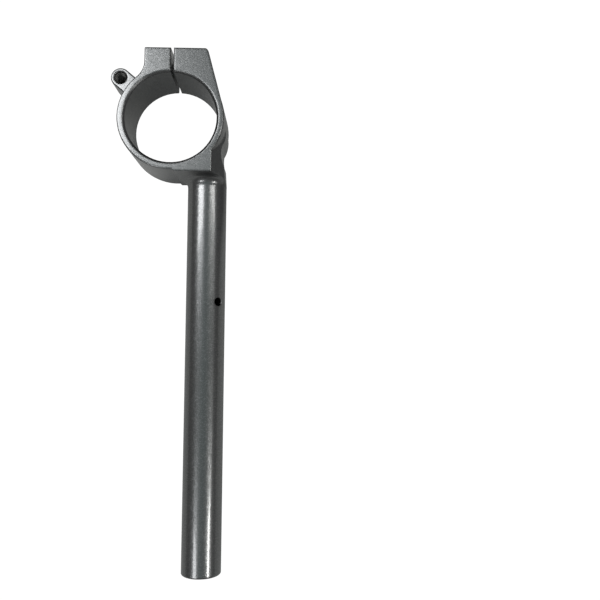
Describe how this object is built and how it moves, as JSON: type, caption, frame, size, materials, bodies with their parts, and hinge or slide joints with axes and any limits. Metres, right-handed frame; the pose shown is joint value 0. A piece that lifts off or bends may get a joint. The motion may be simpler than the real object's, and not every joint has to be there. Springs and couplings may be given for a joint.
{
  "type": "clip on handlebar",
  "caption": "Clip-on motorbike handlebar: a split fork clamp with two ears and a drilled lug, cast in one piece with a straight grip tube.",
  "frame": {"origin": "on the axis of the fork bore, half way up the clamp", "axes": "+Z along the fork bore towards the clamp's front face, +Y towards the clamp's ears, and the grip tube runs along -Y"},
  "size_m": [0.0647, 0.2921, 0.033],
  "materials": {
    "casting": "satin gunmetal metallic paint over cast aluminium"
  },
  "bodies": {
    "root": {"handlebar": "casting"}
  },
  "joints": []
}
